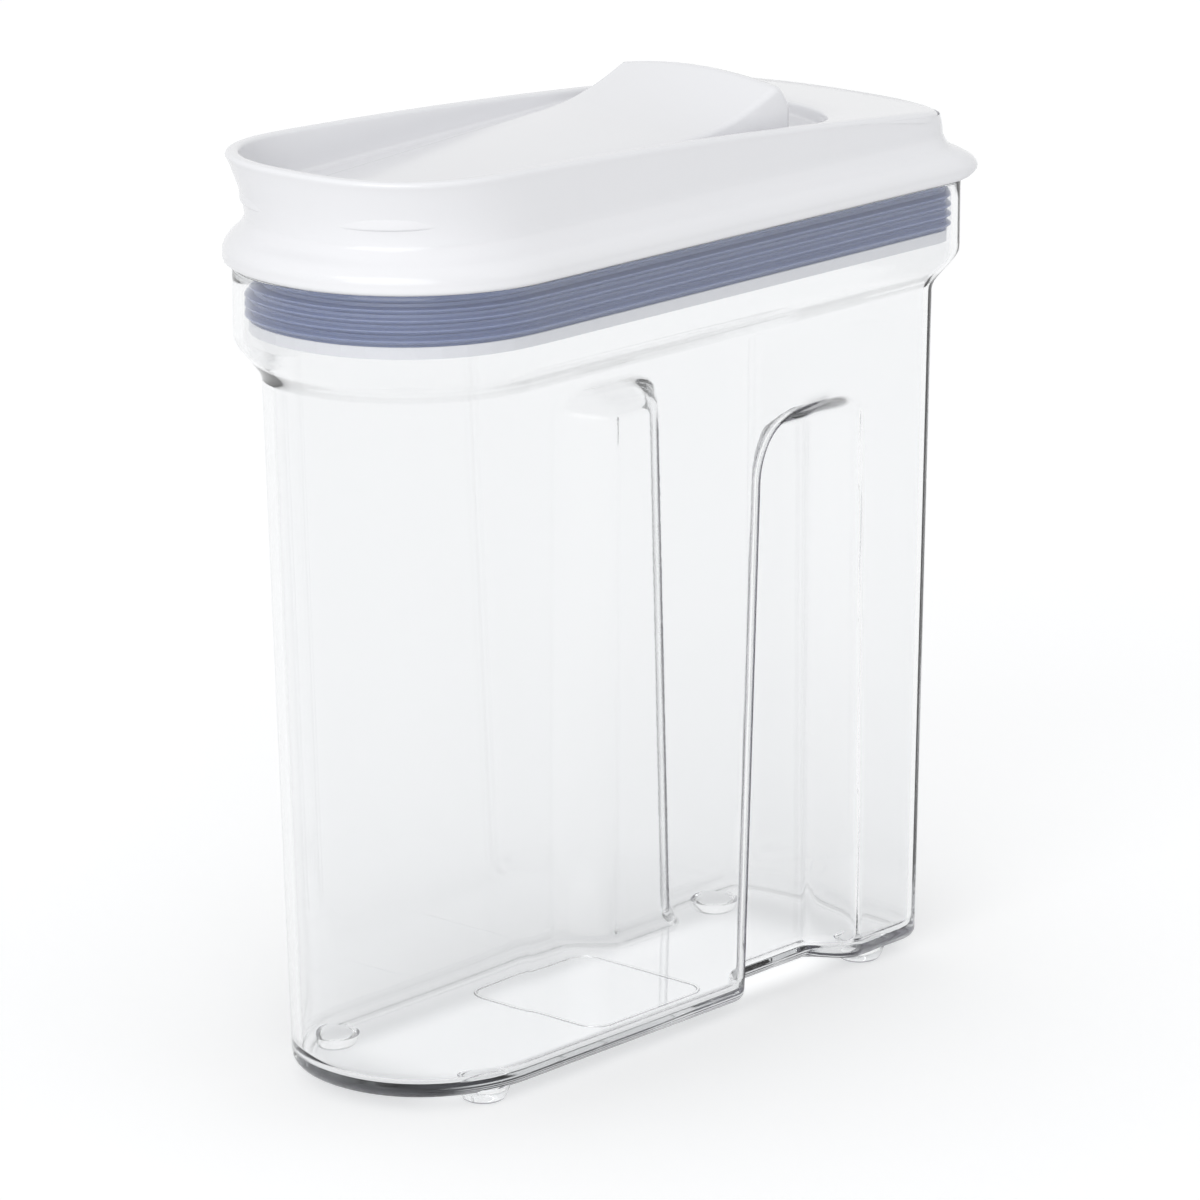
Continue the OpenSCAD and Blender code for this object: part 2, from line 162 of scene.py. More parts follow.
def map_range(tree, value, given, wanted, soft=False):
    """A Map Range node: a value in the given range becomes one in the wanted range."""
    node = tree.nodes.new("ShaderNodeMapRange")
    node.interpolation_type = "SMOOTHSTEP" if soft else "LINEAR"
    for label, number in zip(("From Min", "From Max", "To Min", "To Max"), (*given, *wanted)):
        node.inputs[label].default_value = number
    tree.links.new(value, node.inputs["Value"])
    return node.outputs["Result"]


def colour_ramp(tree, value, marks):
    """A Color Ramp node on a value, with marks of place and colour."""
    node = tree.nodes.new("ShaderNodeValToRGB")
    while len(node.color_ramp.elements) < len(marks):
        node.color_ramp.elements.new(0.5)
    for element, (place, colour) in zip(node.color_ramp.elements, marks):
        element.position, element.color = place, (*colour, 1)
    tree.links.new(value, node.inputs["Fac"])
    return node.outputs["Color"]


def multiplied(tree, first, second):
    """Two colours multiplied."""
    node = tree.nodes.new("ShaderNodeMix")
    node.data_type, node.blend_type = "RGBA", "MULTIPLY"
    node.inputs["Factor"].default_value = 1.0
    tree.links.new(first, node.inputs[6])
    tree.links.new(second, node.inputs[7])
    return node.outputs[2]


def blended(tree, share, first, second):
    """Two shaders mixed, with the second's share."""
    node = tree.nodes.new("ShaderNodeMixShader")
    for value, socket in zip((share, first, second), node.inputs):
        tree.links.new(value, socket)
    return node.outputs["Shader"]


def object_place(tree):
    """The outputs X, Y and Z of a place on the object."""
    place, parts = tree.nodes.new("ShaderNodeTexCoord"), tree.nodes.new("ShaderNodeSeparateXYZ")
    tree.links.new(place.outputs["Object"], parts.inputs["Vector"])
    return parts.outputs


def moulded_finish():
    """Colour, roughness and bump of a moulded surface: faint flow variation and a fine satin grain."""
    tree = bpy.data.node_groups.new("moulded_finish", "ShaderNodeTree")
    for label, kind, value in (
            ("Colour", "Color", (0.8, 0.8, 0.8, 1)), ("Roughness", "Float", 0.3), ("Flow Size", "Float", 40.0),
            ("Grain Size", "Float", 900.0), ("Variation", "Float", 0.03), ("Relief", "Float", 0.02)):
        tree.interface.new_socket(label, in_out="INPUT", socket_type="NodeSocket" + kind).default_value = value
    for label, kind in (("Colour", "Color"), ("Roughness", "Float"), ("Normal", "Vector")):
        tree.interface.new_socket(label, in_out="OUTPUT", socket_type="NodeSocket" + kind)
    nodes, links = tree.nodes, tree.links
    given, out, place = nodes.new("NodeGroupInput"), nodes.new("NodeGroupOutput"), nodes.new("ShaderNodeTexCoord")
    noises = []
    for size, detail in (("Flow Size", 3), ("Grain Size", 2)):
        noise = nodes.new("ShaderNodeTexNoise")
        noise.inputs["Detail"].default_value = detail
        links.new(place.outputs["Object"], noise.inputs["Vector"])
        links.new(given.outputs[size], noise.inputs["Scale"])
        noises.append(noise.outputs["Fac"])
    flow, grain = noises
    swing = operate(tree, "MULTIPLY", operate(tree, "SUBTRACT", flow, 0.5), given.outputs["Variation"])
    tint, bump = nodes.new("ShaderNodeHueSaturation"), nodes.new("ShaderNodeBump")
    links.new(operate(tree, "ADD", swing, 1.0), tint.inputs["Value"])
    links.new(given.outputs["Colour"], tint.inputs["Color"])
    links.new(tint.outputs["Color"], out.inputs["Colour"])
    links.new(operate(tree, "ADD", given.outputs["Roughness"], swing, clamp=True), out.inputs["Roughness"])
    bump.inputs["Distance"].default_value = 0.0002
    links.new(given.outputs["Relief"], bump.inputs["Strength"])
    links.new(grain, bump.inputs["Height"])
    links.new(bump.outputs["Normal"], out.inputs["Normal"])
    return tree


moulded = moulded_finish()


def plastic(name, colour, roughness, flow=40.0, grain=900.0, variation=0.03, relief=0.02, sockets=()):
    """A Principled material whose colour, roughness and normal come through the moulded finish."""
    material = bpy.data.materials.new(name)
    material.use_nodes = True
    nodes, links = material.node_tree.nodes, material.node_tree.links
    shader = nodes["Principled BSDF"]
    finish = nodes.new("ShaderNodeGroup")
    finish.node_tree = moulded
    for label, value in (("Colour", (*colour, 1)), ("Roughness", roughness), ("Flow Size", flow), ("Grain Size", grain),
                         ("Variation", variation), ("Relief", relief)):
        finish.inputs[label].default_value = value
    links.new(finish.outputs["Colour"], shader.inputs["Base Color"])
    links.new(finish.outputs["Roughness"], shader.inputs["Roughness"])
    links.new(finish.outputs["Normal"], shader.inputs["Normal"])
    for label, value in sockets:
        shader.inputs[label].default_value = value
    material.diffuse_color = (*colour, 1)
    return material


# Clear plastic: light passes through and is dimmed a little for each millimetre of wall, and its colour is also painted
# darker where the surface is seen edge-on (painted shade), so the edges read grey.
clear_plastic = plastic("clear_plastic", (0.99, 0.993, 0.996), 0.02, flow=14.0, variation=0.01, relief=0.004,
                        sockets=(("Transmission Weight", 1.0), ("IOR", 1.5)))
tree = clear_plastic.node_tree
nodes, links = tree.nodes, tree.links
layer = nodes.new("ShaderNodeLayerWeight")
layer.inputs["Blend"].default_value = 0.5
facing, height = layer.outputs["Facing"], object_place(tree)["Z"]
wall_tone = map_range(tree, height, (0.005, 0.02), (1.0, 0.972))
# Painted shade: the colour turns darker where the surface is seen edge-on.
rim_shade = colour_ramp(tree, facing, ((0.8, (1, 1, 1)), (1.0, (0.86, 0.87, 0.88))))
tinted = multiplied(tree, multiplied(tree, nodes["Group"].outputs["Colour"], wall_tone), rim_shade)
links.new(tinted, nodes["Principled BSDF"].inputs["Base Color"])
# Painted shade: turned-away slopes of the recess and the line round the base are painted dark with a grey see-through
# layer, set by the edge attribute and by how far the surface turns away.
edge_shade_share, painted_edge_shade = nodes.new("ShaderNodeAttribute"), nodes.new("ShaderNodeBsdfTransparent")
edge_shade_share.attribute_name = "edge"
painted_edge_shade.inputs["Color"].default_value = (0.34, 0.33, 0.37, 1)
turned_away = map_range(tree, facing, (0.4, 0.64), (0.0, 0.9), soft=True)
body_or_edge = blended(tree, operate(tree, "MULTIPLY", edge_shade_share.outputs["Fac"], turned_away),
                       nodes["Principled BSDF"].outputs["BSDF"], painted_edge_shade.outputs["BSDF"])
# Light on its way to a matte surface goes straight through, and loses most where the walls stand close to the table.
light_path, shadow_pass = nodes.new("ShaderNodeLightPath"), nodes.new("ShaderNodeBsdfTransparent")
shade = colour_ramp(tree, map_range(tree, height, (0.0, jug_height * MM), (0.0, 1.0)),
                    [(place, (tone, tone + 0.005, tone + 0.01))
                     for place, tone in ((0.04, 0.9), (0.08, 0.42), (0.2, 0.72), (0.6, 0.86), (0.88, 0.97))])
links.new(shade, shadow_pass.inputs["Color"])
straight = operate(tree, "MAXIMUM", light_path.outputs["Is Shadow Ray"], light_path.outputs["Is Diffuse Ray"])
links.new(blended(tree, straight, body_or_edge, shadow_pass.outputs["BSDF"]), nodes["Material Output"].inputs["Surface"])
dimming = nodes.new("ShaderNodeVolumeAbsorption")
dimming.inputs["Color"].default_value = (0.72, 0.73, 0.74, 1)
dimming.inputs["Density"].default_value = 30.0
links.new(dimming.outputs["Volume"], nodes["Material Output"].inputs["Volume"])


def body_plan(z):
    if z < neck_z:
        return blend_plans(base_plan, neck_plan, (z - foot_height) / (neck_z - foot_height))
    return blend_plans(neck_plan, rim_plan, smooth((z - neck_z) / shoulder_height))


def recess(x, y, z):
    """How far along the recess's slopes a place is: from its ends and from the top of its arch, each 0 to 1."""
    front, rear, back, top, rear_slope = near_grip if y < 0 else far_grip
    half = mix(grip_length, grip_top_length, z / grip_height) / 2
    ends = []
    for (reach, drop), gap in ((front, x - grip_x + half), (rear, grip_x + half + back - x)):
        over = min(1.0, max(0.0, (z - top + drop) / drop))
        ends.append(gap - reach * (1 - math.sqrt(1 - over * over)))
    return ends[0] / grip_slope, ends[1] / rear_slope, (top - z) / (grip_slope * 0.6)


def grip(x, y, z):
    """Depth of the hand recess at a place on the long side."""
    from_front, from_rear, from_top = recess(x, y, z)
    return grip_depth * smooth(min(from_front, from_rear)) * smooth(from_top)


jug_stations = [-46 + 4 * i for i in range(15)] + [12.5 + 0.8 * i for i in range(58)] + [61, 64, 67, 69.5]


def jug_ring(z, inset):
    p = grown(body_plan(z), -inset)
    return [(x + shift, y - math.copysign(grip(x, y, z), y) if abs(y) > p[2] - 0.01 else y, z)
            for x, y in outline(p, jug_stations, 22, 14)]


wall_z = ([8.2, 12, 30, 50, 70, 90, 103] + [105 + 1.5 * i for i in range(7)] + [114.5 + 0.8 * i for i in range(20)]
          + [133, 138, 143] + [neck_z + 0.75 * i for i in range(14)] + [159, 163, 167])
# The rim is rounded on both faces: each ring is below the top by the first number and in from the wall by the second.
rim_round = ((0.6, 0), (0.25, 0.08), (0.07, 0.25), (0, 0.5))
# A flat ring inside each rounded edge of the base keeps its large flat face's shading flat.
flat = base_edge + 0.5
outside = [jug_ring(foot_height, flat)]
outside += [jug_ring(foot_height + base_edge * (1 - math.cos(a)), base_edge * (1 - math.sin(a)))
            for a in (math.radians(15 * i) for i in range(7))]
outside += [jug_ring(z, 0) for z in wall_z] + [jug_ring(jug_height - down, inward) for down, inward in rim_round]
inside = [jug_ring(jug_height - down, jug_wall - inward) for down, inward in reversed(rim_round)]
inside += [jug_ring(z, jug_wall) for z in reversed(wall_z)]
inside += [jug_ring(floor_z + base_edge * (1 - math.sin(a)), jug_wall + base_edge * (1 - math.cos(a)))
           for a in (math.radians(18 * i) for i in range(6))]
inside += [jug_ring(floor_z, jug_wall + flat)]
jug = new_piece("jug_shell", *skin(outside + inside), clear_plastic)


def turned(profile, centre, steps=48):
    """A closed solid turned about a vertical line: profile runs from the axis at the bottom to the axis at the top."""
    rings, turns = profile[1:-1], [2 * math.pi * i / steps for i in range(steps)]
    vertices = [(centre[0], centre[1], profile[0][1])]
    for r, z in rings:
        vertices += [(centre[0] + r * math.cos(t), centre[1] + r * math.sin(t), z) for t in turns]
    vertices.append((centre[0], centre[1], profile[-1][1]))
    top = len(vertices) - 1
    faces = []
    for i in range(steps):
        j = (i + 1) % steps
        faces.append((0, 1 + j, 1 + i))
        for k in range(len(rings) - 1):
            a, b = 1 + k * steps, 1 + (k + 1) * steps
            faces.append((a + i, a + j, b + j, b + i))
        last = 1 + (len(rings) - 1) * steps
        faces.append((last + i, last + j, top))
    return vertices, faces


def join_to(piece, vertices, faces):
    """Unites a closed solid with a piece, as one moulding."""
    tool = new_piece("tool", vertices, faces, piece.data.materials[0])
    union = piece.modifiers.new("union", "BOOLEAN")
    union.operation, union.object, union.solver = "UNION", tool, "MANIFOLD"
    bpy.context.view_layer.update()
    mesh = bpy.data.meshes.new_from_object(piece.evaluated_get(bpy.context.evaluated_depsgraph_get()))
    piece.modifiers.remove(union)
    piece.data = mesh
    bpy.data.objects.remove(tool)


# Radius and height from the foot's middle, with its top buried in the base.
foot_profile = [(0, 0), (3.3, 0), (3.9, 0.1), (4.4, 0.4), (4.8, 0.9), (5.1, 1.6), (5.4, 2.6), (5.4, 3.5), (0, 3.5)]
for foot_x in (base_plan[0] + 22, base_plan[1] - 17):
    for foot_y in (-21.2, 21.2):
        join_to(jug, *turned(foot_profile, (foot_x + shift, foot_y)))

frame_x, frame_half, frame_corner, frame_bead = -3, 18.0, 5.0, 0.8


def frame_ring(inward, z):
    """A rounded square about the middle of the base."""
    corner, straight_half, points = frame_corner - inward, frame_half - frame_corner, []
    for q, (way_x, way_y) in enumerate(((1, 1), (-1, 1), (-1, -1), (1, -1))):
        for t in (math.radians(90 * q + 15 * i) for i in range(7)):
            x, y = straight_half * way_x + corner * math.cos(t), straight_half * way_y + corner * math.sin(t)
            points.append((x + frame_x, y, z))
    return points


# The bead's section, from its inner side to its outer one: how far in from the frame's edge, and how far below the base.
bead = [frame_ring(inward, foot_height - down) for inward, down in (
    (frame_bead, -0.4), (frame_bead, 0.2), (frame_bead - 0.2, 0.3), (0.2, 0.3), (0, 0.2), (0, -0.4))]
join_to(jug, *skin(bead, tube=True))
# The edge attribute: how much painted dark edge shade each place of the clear moulding gets.
edge = jug.data.attributes.new("edge", "FLOAT", "POINT")
for vertex in jug.data.vertices:
    x, y, z = (v / MM for v in vertex.co)
    from_front, from_rear, from_top = recess(x - shift, y, z)
    depth = grip(x - shift, y, z)
    outer = abs(y) > body_plan(z)[2] - depth - jug_wall / 2
    value = 0.0
    if abs(y) > 13 and depth > 0 and z > floor_z + base_edge * 0.9:
        shares = [(from_front, 1.0), (from_top, 0.6)] if y < 0 else [(from_rear, 1.0)]
        value = max(most * min(1.0, 5 - 5 * abs(2 * v - 1)) if 0 < v < 1 else 0.0 for v, most in shares)
        value *= (1.0 if outer == (y < 0) else 0.35) * (1.0 if y < 0 else smooth(from_top - 0.8))
    # Painted shade: a dark line round the base's rounded lower edge.
    elif foot_height + 0.05 < z < foot_height + 0.5:
        value = 0.3
    elif 0.05 < z < 0.6:
        value = 0.8
    edge.data[vertex.index].value = value
finish_piece(jug, "jug", sharp=40)
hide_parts("jug")

# ---------------------------------------------------------------------------
# Lid cover: white gloss moulding. A flange with a rear lift lip sits over the
# jug, the side draws in to a waist and flares again to the open collar of the
# spout, which runs back into a flat deck behind a shallow finger well.
# ---------------------------------------------------------------------------
white_plastic = plastic(
    "white_plastic", (0.83, 0.83, 0.85), 0.2, flow=30.0, grain=1400.0, variation=0.015, relief=0.015,
    sockets=(("Coat Weight", 0.25), ("Coat Roughness", 0.08), ("IOR", 1.5)))
lid_z = jug_height + 0.35
lid_wall, lip_reach, waist_z = 2.0, 4.2, lid_z + 9.0
flange_plan = (-91.1, 89.3, 36.7, 38.3, 16.3, 2.1, 2.4)
waist_plan = (-86.2, 86.8, 31.8, 34.4, 15.4, 2.25, 2.2)
top_plan = (-88.6, 86.2, 32.1, 32.4, 17.4, 2.6, 2.2)
collar_plan = (-86.1, 56, 29.6, 29.9, 22, 2.6, 1.9)
door_plan = (-77.6, 40, 21.5, 24, 3.6, 2.1, 2.4)
hole_plan = grown(door_plan, 0.4)
crest_x = 34.0


def top_z(x):
    return lid_z + 19.7 - 0.053 * x - 0.00026 * x * x


def ledge_z(x):
    return lid_z + 14.9 + 0.036 * x


def well_z(x):
    return min(ledge_z(x) - 3.7 * smooth((x - crest_x + 6) / 8), top_z(x) - 1.8)


def lip(p, share):
    return (p[0], p[1] + lip_reach * share, p[2], p[3], p[4] + lip_reach * share * 0.4, p[5], p[6])


def lid_ring(p, height):
    """A ring round the lid; height is a number or a rule of the place along it."""
    return [(x + shift, y, height(x) if callable(height) else height) for x, y in outline(p, even(p, 22), 20, 14)]


def through(rings, steps=3):
    """Smooth rings between the given ones, on a curve that passes through them. Repeated rings stay as corners."""
    result, n = [], len(rings)
    for k in range(n - 1):
        four = [rings[min(max(k + o, 0), n - 1)] for o in (-1, 0, 1, 2)]
        for s in range(steps):
            t = s / steps
            ring = []
            for a, b, c, d in zip(*four):
                span = (Vector(c) - Vector(b)).length or 1e-6
                m1 = (Vector(c) - Vector(a)) * (span / ((Vector(b) - Vector(a)).length + span))
                m2 = (Vector(d) - Vector(b)) * (span / ((Vector(d) - Vector(c)).length + span))
                ring.append(tuple((2 * t ** 3 - 3 * t ** 2 + 1) * Vector(b) + (t ** 3 - 2 * t ** 2 + t) * m1
                                  + (3 * t ** 2 - 2 * t ** 3) * Vector(c) + (t ** 3 - t ** 2) * m2))
            result.append(ring)
    result.append(rings[-1])
    return result


def rising(share, flare):
    return lid_ring(blend_plans(waist_plan, top_plan, flare), lambda x: mix(waist_z, top_z(x), share))


def top_edge(angle):
    """A ring of the quarter round along the lid's upper edge, which is larger round the rear deck."""
    ring = []
    for a, b in zip(lid_ring(top_plan, 0), lid_ring(grown(top_plan, -2), 0)):
        r = mix(0.9, 2.0, smooth((a[0] - shift - collar_plan[1] + 10) / 24))
        x, y = (mix(u, v, r * (1 - math.sin(math.radians(angle))) / 2) for u, v in zip(a[:2], b[:2]))
        ring.append((x, y, top_z(x - shift) - r * (1 - math.cos(math.radians(angle)))))
    return ring


side = through([
    lid_ring(grown(flange_plan, -0.5), lid_z), lid_ring(lip(flange_plan, 0.4), lid_z + 0.5),
    lid_ring(lip(flange_plan, 1), lid_z + 1.6), lid_ring(lip(flange_plan, 0.95), lid_z + 2.6),
    lid_ring(lip(grown(flange_plan, -0.5), 0.75), lid_z + 3.8), lid_ring(lip(grown(flange_plan, -1.5), 0.35), lid_z + 5.1),
    lid_ring(grown(waist_plan, 1.5), lid_z + 6.4), lid_ring(grown(waist_plan, 0.5), waist_z - 1.2),
    lid_ring(waist_plan, waist_z), rising(0.3, 0.15), rising(0.6, 0.5), rising(0.85, 0.85)]
    + [top_edge(a) for a in (90, 60, 30, 0)])
deck_from, deck_to = top_edge(0), lid_ring(grown(collar_plan, 0.8), top_z)
deck = [[(mix(a[0], b[0], t), mix(a[1], b[1], t), top_z(mix(a[0], b[0], t) - shift))
         for a, b in zip(deck_from, deck_to)] for t in (0.25, 0.5, 0.75)]
collar = through([
    deck_to, lid_ring(grown(collar_plan, 0.2), lambda x: top_z(x) - 0.22), lid_ring(collar_plan, lambda x: top_z(x) - 0.8),
    lid_ring(collar_plan, lambda x: mix(well_z(x), top_z(x), 0.5)), lid_ring(collar_plan, lambda x: well_z(x) + 0.7),
    lid_ring(grown(collar_plan, -0.2), lambda x: well_z(x) + 0.22), lid_ring(grown(collar_plan, -0.8), well_z)])
ledge = [lid_ring(blend_plans(grown(collar_plan, -0.8), grown(hole_plan, 0.5), t), well_z) for t in (0.2, 0.4, 0.6, 0.8)]
ledge += through([lid_ring(grown(hole_plan, 0.5), well_z), lid_ring(grown(hole_plan, 0.14), lambda x: well_z(x) - 0.13),
                  lid_ring(hole_plan, lambda x: well_z(x) - 0.5)], 2)
under = [lid_ring(hole_plan, lambda x: well_z(x) - lid_wall),
         lid_ring(grown(waist_plan, -lid_wall), lambda x: well_z(x) - lid_wall),
         lid_ring(grown(waist_plan, -lid_wall), waist_z - 0.5), lid_ring(grown(waist_plan, 1.5 - lid_wall), lid_z + 5.4),
         lid_ring(grown(flange_plan, -lid_wall), lid_z + 3.4), lid_ring(grown(flange_plan, -lid_wall), lid_z)]
lid = new_piece("lid_shell", *skin(side + deck + collar + ledge + under, tube=True), white_plastic)
finish_piece(lid, "lid", sharp=45)
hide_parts("lid_cover")

# ---------------------------------------------------------------------------
# Plug: satin white inner part of the lid, from the CAD, which reaches into the
# jug's rim, holds the gasket and carries the two hinge arms and their pins.
# ---------------------------------------------------------------------------
inner_plastic = plastic("inner_plastic", (0.78, 0.78, 0.81), 0.35, variation=0.02, relief=0.03)
for name in ("lid_plug", "hinge_pin_near", "hinge_pin_far", "door_liner"):
    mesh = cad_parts[name].data
    mesh.materials.clear()
    mesh.materials.append(inner_plastic)

# ---------------------------------------------------------------------------
# Gasket: one ring of translucent blue-grey silicone round the plug. A flat
# back seats in the plug's groove, and its soft fins bend against the jug.
# ---------------------------------------------------------------------------
blue_silicone = plastic(
    "blue_silicone", (0.22, 0.26, 0.42), 0.3, flow=60.0, variation=0.04, relief=0.01,
    sockets=(("Subsurface Weight", 0.15), ("Subsurface Radius", (0.4, 0.5, 0.9)), ("Subsurface Scale", 0.002),
             ("IOR", 1.42)))
mouth_plan = grown(rim_plan, -jug_wall)
gasket_foot, gasket_height, gasket_thickness, fin_count = jug_height - 13.1 + 2.4, 10.2, 2.7, 5
fin_pitch = gasket_height / fin_count


def gasket_ring(depth, z):
    return lid_ring(grown(mouth_plan, -0.3 - depth), z)


def silicone_ring(name, section):
    """A ring with a section of depth in from the fins' tips and height above the gasket's foot."""
    return new_piece(name, *skin([gasket_ring(d, gasket_foot + z) for d, z in section], tube=True), blue_silicone)


fins = silicone_ring("gasket_fins", [(1.7, 0.24), (1.15, 0.28), (0.3, 0.92), (0.03, 1.17), (0.0, 1.31), (0.05, 1.45),
                                     (0.35, 1.5), (1.15, 1.76), (1.7, 1.78)])


def fin_stack(source):
    """Copies one fin up the gasket: named inputs for how many and how far apart."""
    tree = bpy.data.node_groups.new("fin_stack", "GeometryNodeTree")
    for label, kind in (("Geometry", "NodeSocketGeometry"), ("Fins", "NodeSocketInt"), ("Pitch", "NodeSocketFloat"),
                        ("Material", "NodeSocketMaterial")):
        tree.interface.new_socket(label, in_out="INPUT", socket_type=kind)
    tree.interface.new_socket("Geometry", in_out="OUTPUT", socket_type="NodeSocketGeometry")
    nodes, links = tree.nodes, tree.links
    given, out = nodes.new("NodeGroupInput"), nodes.new("NodeGroupOutput")
    line, step = nodes.new("GeometryNodeMeshLine"), nodes.new("ShaderNodeCombineXYZ")
    copies, real = nodes.new("GeometryNodeInstanceOnPoints"), nodes.new("GeometryNodeRealizeInstances")
    finish = nodes.new("GeometryNodeSetMaterial")
    links.new(given.outputs["Fins"], line.inputs["Count"])
    links.new(given.outputs["Pitch"], step.inputs["Z"])
    links.new(step.outputs["Vector"], line.inputs["Offset"])
    links.new(line.outputs["Mesh"], copies.inputs["Points"])
    links.new(given.outputs["Geometry"], copies.inputs["Instance"])
    links.new(copies.outputs["Instances"], real.inputs["Geometry"])
    links.new(real.outputs["Geometry"], finish.inputs["Geometry"])
    links.new(given.outputs["Material"], finish.inputs["Material"])
    links.new(finish.outputs["Geometry"], out.inputs["Geometry"])
    stack = source.modifiers.new("fin_stack", "NODES")
    stack.node_group = tree
    values = {"Fins": fin_count, "Pitch": fin_pitch * MM, "Material": blue_silicone}
    for item in tree.interface.items_tree:
        if item.in_out == "INPUT" and item.name in values:
            stack[item.identifier] = values[item.name]
    bpy.context.view_layer.update()
    mesh = bpy.data.meshes.new_from_object(source.evaluated_get(bpy.context.evaluated_depsgraph_get()))
    source.modifiers.remove(stack)
    source.data = mesh


fin_stack(fins)
finish_piece(fins, "lid", sharp=50)
back = silicone_ring("gasket_back", [(gasket_thickness, 0), (1.2, 0), (1.1, 0.1), (1.1, gasket_height - 0.1),
                                     (1.2, gasket_height), (gasket_thickness, gasket_height)])
finish_piece(back, "lid", sharp=50)
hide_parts("rim_gasket")
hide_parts("rim_gasket")
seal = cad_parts["spout_seal"].data
seal.materials.clear()
seal.materials.append(blue_silicone)

# ---------------------------------------------------------------------------
# Flip door: white gloss moulding, a shallow ramp from its round tip that rises
# to a crest at the rear, open underneath, with a boss in each rear corner that
# turns on a pin.
# ---------------------------------------------------------------------------
plate_z = lid_z + 7.0
hinge_x, hinge_z, arm_y, arm_thickness, eye_radius, bore_radius = 34.2, lid_z + 16.0, 14.6, 3.2, 2.5, 1.25
door_wall, door_width, rise_start, edge_radius = 1.6, 43.0, 6.0, 1.7
tip_rise, ramp_rise, crest_rise, door_crown, door_rear = 0.4, 2.0, 6.2, 1.8, 40.0
door_stations = ([-44 + 3 * i for i in range(15)] + [0.5 + 1.25 * i for i in range(24)]
                 + [30, 31.2, 32.3, 33.3, 34.2, 35, 35.7, 36.3])
door_stations = sorted(set(round(x, 2) for x in door_stations if x < 36.6))


def rise_share(x):
    return min(1.0, max(0.0, (x - rise_start) / (crest_x - rise_start)))


def sharp_crease(x):
    z = ledge_z(min(x, crest_x)) + tip_rise + crest_rise * rise_share(x) ** 2
    z += ramp_rise * min(1.0, max(0.0, (x - door_plan[0]) / (rise_start - door_plan[0])))
    if x > crest_x:
        z -= (tip_rise + ramp_rise + crest_rise + 0.2) * ((x - crest_x) / (door_rear - crest_x)) ** 1.25
    return z


def crease_z(x):
    """Height of the door's edge, with the crest rounded over 2 mm."""
    reach = min(1.0, door_rear - x)
    return sum(sharp_crease(x + reach * o) for o in (-1, -0.5, 0, 0.5, 1)) / 5


def door_bottom(x):
    return plate_z + 0.9 + 4.4 * smooth((x - hinge_x + 16) / 6)


def door_outline(inset, more):
    p = grown(door_plan, -inset)
    drawn_in = (p[0] + more * 6, p[1] - more * 0.9, p[2], p[3] - more * 6, p[4] - more * 0.9, p[5], p[6])
    return outline(drawn_in, door_stations, 18, 9)


def door_top(x, y, across):
    crown = door_crown * mix(0.5, 1, rise_share(x)) * (1 - across * across)
    return crease_z(x) + crown * min(1.0, abs(y) / (door_width / 2))


def door_ring(inset, across, drop):
    return [(x + shift, y * across, door_top(x, y, across) - drop) for x, y in door_outline(inset, 1 - across)]


def door_edge(inset):
    return [(x + shift, y, door_bottom(x)) for x, y in door_outline(inset, 0)]


def door_round(angle, across):
    """A ring of the quarter round between the door's side and its top, larger beside the crest."""
    ring = []
    for a, b in zip(door_outline(0, 1 - across), door_outline(2, 1 - across)):
        r = mix(0.9, edge_radius, rise_share(a[0]))
        x, y = (mix(u, v, r * (1 - math.sin(math.radians(angle))) / 2) for u, v in zip(a, b))
        ring.append((x + shift, y * across, door_top(x, y, across) - r * (1 - math.cos(math.radians(angle)))))
    return ring


shares = (1, 0.95, 0.9, 0.8, 0.7, 0.6, 0.5, 0.4, 0.3, 0.2, 0.1, 0.03)
door_rings = [door_ring(door_wall, s, door_wall) for s in reversed(shares)]
door_rings += [door_edge(door_wall), door_edge(0)] + [door_round(90 - 15 * i, 1) for i in range(7)]
door_rings += [door_round(0, s) for s in shares[1:]]
n, m = len(door_rings[0]), len(door_rings)
vertices, faces = [v for r in door_rings for v in r], []
for k in range(m - 1):
    for i in range(n):
        j = (i + 1) % n
        faces.append((k * n + i, k * n + j, (k + 1) * n + j, (k + 1) * n + i))
far = (m - 1) * n
caps = [(i, i + 1, n - i - 1, n - i) for i in range(1, n // 2 - 1)] + [(0, 1, n - 1), (n // 2 - 1, n // 2, n // 2 + 1)]
faces += [tuple(reversed(f)) for f in caps] + [tuple(v + far for v in f) for f in caps]


def hinge_boss(y0, y1):
    """A ring along the hinge line from y0 to y1, with the pin's bore through it."""
    start, steps = len(vertices), 40
    for r, y in ((eye_radius, y0), (eye_radius, y1), (bore_radius, y1), (bore_radius, y0)):
        for t in (2 * math.pi * i / steps for i in range(steps)):
            vertices.append((hinge_x + shift + r * math.cos(t), y, hinge_z + r * math.sin(t)))
    for k in range(4):
        here, after = start + k * steps, start + (k + 1) % 4 * steps
        for i in range(steps):
            j = (i + 1) % steps
            quad = (here + i, after + i, after + j, here + j)
            faces.append(quad if y1 > y0 else tuple(reversed(quad)))


for way in (-1, 1):
    hinge_boss(way * (arm_y + arm_thickness / 2 + 0.25), way * (door_width / 2 - 0.6))
door = new_piece("door_shell", vertices, faces, white_plastic)
finish_piece(door, "door", sharp=50)
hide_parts("flip_door")

# ---------------------------------------------------------------------------
# Table, light and background. White paper that keeps a soft shadow, a narrow
# light high over the spout end, a wide soft one low on the same side, and an
# even white room.
# ---------------------------------------------------------------------------
floor_size = 15
floor_mesh = bpy.data.meshes.new("floor")
floor_corners = [(x * floor_size, y * floor_size, 0) for x, y in ((-1, -1), (1, -1), (1, 1), (-1, 1))]
floor_mesh.from_pydata(floor_corners, [], [(0, 1, 2, 3)])
floor = bpy.data.objects.new("floor", floor_mesh)
bpy.context.scene.collection.objects.link(floor)


